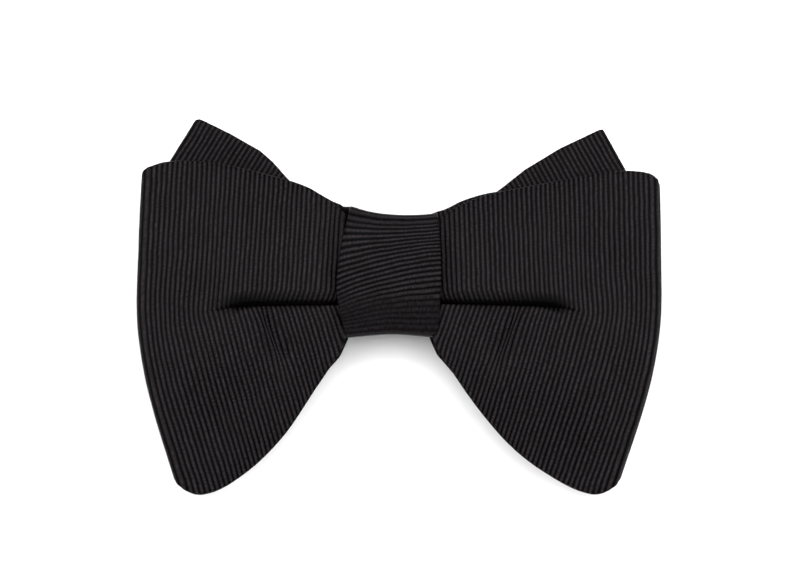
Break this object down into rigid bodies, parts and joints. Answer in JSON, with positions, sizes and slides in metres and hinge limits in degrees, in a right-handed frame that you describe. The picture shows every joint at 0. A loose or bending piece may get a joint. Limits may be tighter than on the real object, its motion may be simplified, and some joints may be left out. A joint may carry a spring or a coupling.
{
  "type": "bow tie",
  "caption": "Large ready-tied butterfly bow tie in ribbed silk, with a knot wrap, a folded neck strap, a slide adjuster and a hook and eye.",
  "frame": {"origin": "centre of the whole object seen from the front, on the surface it lies on", "axes": "+X towards the right wing as seen from the front, +Y towards the chin when worn, +Z out of the front of the bow"},
  "size_m": [0.1254, 0.0901, 0.0238],
  "materials": {
    "silk": "black silk with heavy cross ribs, low satin sheen on the ribs",
    "canvas": "undyed woven interlining",
    "thread": "black sewing thread",
    "nickel": "nickel-plated steel, polished",
    "label": "blank woven label"
  },
  "bodies": {
    "bow": {"front_blade": "silk", "front_interlining": "canvas", "tail_left": "silk", "tail_left_interlining": "canvas", "tail_right": "silk", "tail_right_interlining": "canvas", "knot_wrap": "silk", "knot_interlining": "canvas", "knot_stitches": "thread", "waist_thread": "thread", "strap_centre": "silk", "strap_left_fold_1": "silk", "strap_right_fold_1": "silk"},
    "left_run_2": {"strap_left_run_2": "silk", "size_label": "label", "label_stitches": "thread", "strap_left_fold_2": "silk"},
    "left_run_3": {"strap_left_run_3": "silk", "strap_left_fold_3": "silk"},
    "left_run_4": {"strap_left_run_4": "silk", "hook_bartack": "thread"},
    "hook": {"hook": "nickel"},
    "right_run_2": {"strap_right_run_2": "silk", "strap_right_fold_2": "silk"},
    "right_run_3": {"strap_right_run_3": "silk", "strap_right_fold_3": "silk"},
    "right_run_4": {"strap_right_run_4": "silk", "strap_right_slack": "silk"},
    "eye_loop": {"strap_eye_loop": "silk", "strap_return": "silk"},
    "adjuster": {"slide_adjuster": "nickel"},
    "eye": {"eye": "nickel"}
  },
  "joints": [
    {"name": "left_unfold", "type": "hinge", "parent": "bow", "child": "left_run_2", "pos_m": [-0.05775, 0.008, 0.00698], "axis": [0, 1, 0], "range_deg": [0, 179], "deforming": ["strap_left_fold_1"]},
    {"name": "left_unfold_2", "type": "hinge", "parent": "left_run_2", "child": "left_run_3", "pos_m": [-0.01875, 0.008, 0.00483], "axis": [0, 1, 0], "range_deg": [-179, 0], "deforming": ["strap_left_fold_2"]},
    {"name": "left_unfold_3", "type": "hinge", "parent": "left_run_3", "child": "left_run_4", "pos_m": [-0.05775, 0.008, 0.0021], "axis": [0, 1, 0], "range_deg": [0, 179], "deforming": ["strap_left_fold_3"]},
    {"name": "hook_turn", "type": "hinge", "parent": "left_run_4", "child": "hook", "pos_m": [-0.03075, 0.008, 0.0015], "axis": [0, 1, 0], "range_deg": [0, 100]},
    {"name": "right_unfold", "type": "hinge", "parent": "bow", "child": "right_run_2", "pos_m": [0.05775, 0.008, 0.00734], "axis": [0, -1, 0], "range_deg": [0, 179], "deforming": ["strap_right_fold_1"]},
    {"name": "right_unfold_2", "type": "hinge", "parent": "right_run_2", "child": "right_run_3", "pos_m": [0.01325, 0.008, 0.00591], "axis": [0, -1, 0], "range_deg": [-179, 0], "deforming": ["strap_right_fold_2"]},
    {"name": "right_unfold_3", "type": "hinge", "parent": "right_run_3", "child": "right_run_4", "pos_m": [0.05775, 0.008, 0.00405], "axis": [0, -1, 0], "range_deg": [0, 179], "deforming": ["strap_right_fold_3"]},
    {"name": "eye_slide", "type": "slide", "parent": "right_run_4", "child": "eye_loop", "axis": [-1, 0, 0], "range_m": [0, 0.006], "deforming": ["strap_right_slack"]},
    {"name": "adjuster_slide", "type": "slide", "parent": "eye_loop", "child": "adjuster", "axis": [-1, 0, 0], "range_m": [0, 0.006], "deforming": ["strap_return"]},
    {"name": "eye_turn", "type": "hinge", "parent": "eye_loop", "child": "eye", "pos_m": [0.01125, 0.008, 0.00185], "axis": [0, -1, 0], "range_deg": [0, 100]}
  ],
  "couplings": [
    {"joint": "left_unfold_2", "follows": "left_unfold", "ratio": -1},
    {"joint": "left_unfold_3", "follows": "left_unfold", "ratio": 1},
    {"joint": "right_unfold_2", "follows": "right_unfold", "ratio": -1},
    {"joint": "right_unfold_3", "follows": "right_unfold", "ratio": 1},
    {"joint": "adjuster_slide", "follows": "eye_slide", "ratio": 1}
  ]
}
